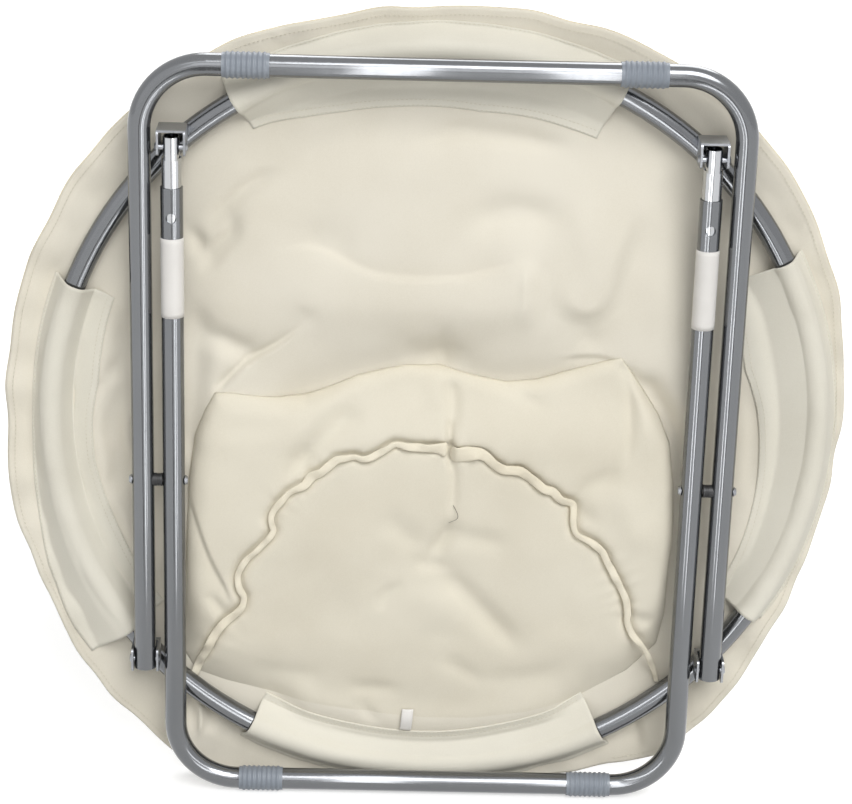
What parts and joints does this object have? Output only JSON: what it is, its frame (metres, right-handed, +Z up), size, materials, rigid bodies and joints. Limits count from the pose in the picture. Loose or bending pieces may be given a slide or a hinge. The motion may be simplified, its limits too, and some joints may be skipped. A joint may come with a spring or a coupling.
{
  "type": "folding round chair",
  "caption": "Round canvas chair folded flat on its edge: steel hoop, slack seat pouch, two crossing U-shaped legs, one telescoping on chromed slide tubes with snap buttons",
  "frame": {"origin": "on the ground under the middle of the folded chair's bounding box", "axes": "+Z up, +X across the chair to the right of someone facing the back of the seat, +Y from the legs towards the seat's sitting side"},
  "size_m": [0.842, 0.0579, 0.82],
  "materials": {
    "painted_steel": "satin silver-grey paint",
    "chromed_tube": "bright chrome",
    "plated_hardware": "bright zinc plate",
    "spring_steel": "blued spring steel",
    "grey_plastic": "ribbed soft plastic",
    "black_plastic": "moulded",
    "canvas": "woven polyester canvas",
    "piping_cloth": "folded bias tape"
  },
  "bodies": {
    "hoop_frame": {"hoop_tube": "painted_steel", "hinge_bracket_left": "plated_hardware", "hinge_bracket_right": "plated_hardware", "slide_bracket_left": "plated_hardware", "slide_bracket_right": "plated_hardware", "hinge_pin_left": "plated_hardware", "hinge_pin_right": "plated_hardware", "slide_pin_left": "plated_hardware", "slide_pin_right": "plated_hardware", "seat_cover": "canvas", "seat_pouch": "canvas", "pouch_piping": "piping_cloth", "sleeve_top": "canvas", "sleeve_left": "canvas", "sleeve_right": "canvas", "sleeve_bottom": "canvas"},
    "outer_leg": {"outer_leg_tube": "painted_steel", "outer_grip_left": "grey_plastic", "outer_grip_right": "grey_plastic", "pivot_bolt_left": "plated_hardware", "pivot_bolt_right": "plated_hardware", "spacer_bush_left": "black_plastic", "spacer_bush_right": "black_plastic"},
    "slide_tubes": {"slide_tube_left": "chromed_tube", "slide_tube_right": "chromed_tube", "snap_spring_left": "spring_steel", "snap_spring_right": "spring_steel"},
    "inner_leg": {"inner_leg_tube": "painted_steel", "inner_grip_left": "grey_plastic", "inner_grip_right": "grey_plastic", "pivot_nut_left": "plated_hardware", "pivot_nut_right": "plated_hardware"},
    "snap_button_left": {"snap_button_left": "plated_hardware"},
    "snap_button_right": {"snap_button_right": "plated_hardware"}
  },
  "joints": [
    {"name": "outer_leg_fold", "type": "hinge", "parent": "hoop_frame", "child": "outer_leg", "pos_m": [0.008, -0.01595, 0.14862], "axis": [1, 0, 0], "range_deg": [0, 79]},
    {"name": "slide_tubes_swing", "type": "hinge", "parent": "hoop_frame", "child": "slide_tubes", "pos_m": [0.008, -0.01595, 0.68671], "axis": [-1, 0, 0], "range_deg": [0, 21.2]},
    {"name": "inner_leg_slide", "type": "slide", "parent": "slide_tubes", "child": "inner_leg", "axis": [0, 0, -1], "range_m": [0, 0.196]},
    {"name": "snap_button_left_press", "type": "slide", "parent": "slide_tubes", "child": "snap_button_left", "axis": [0, 1, 0], "range_m": [0, 0.002], "stiffness_N_per_m": 600, "springref_m": -0.0025, "deforming": ["snap_spring_left"]},
    {"name": "snap_button_right_press", "type": "slide", "parent": "slide_tubes", "child": "snap_button_right", "axis": [0, 1, 0], "range_m": [0, 0.002], "stiffness_N_per_m": 600, "springref_m": -0.0025, "deforming": ["snap_spring_right"]}
  ],
  "couplings": [
    {"joint": "slide_tubes_swing", "follows": "outer_leg_fold", "ratio": 0.26792},
    {"joint": "inner_leg_slide", "follows": "outer_leg_fold", "m_per_rad": 0.14209}
  ]
}
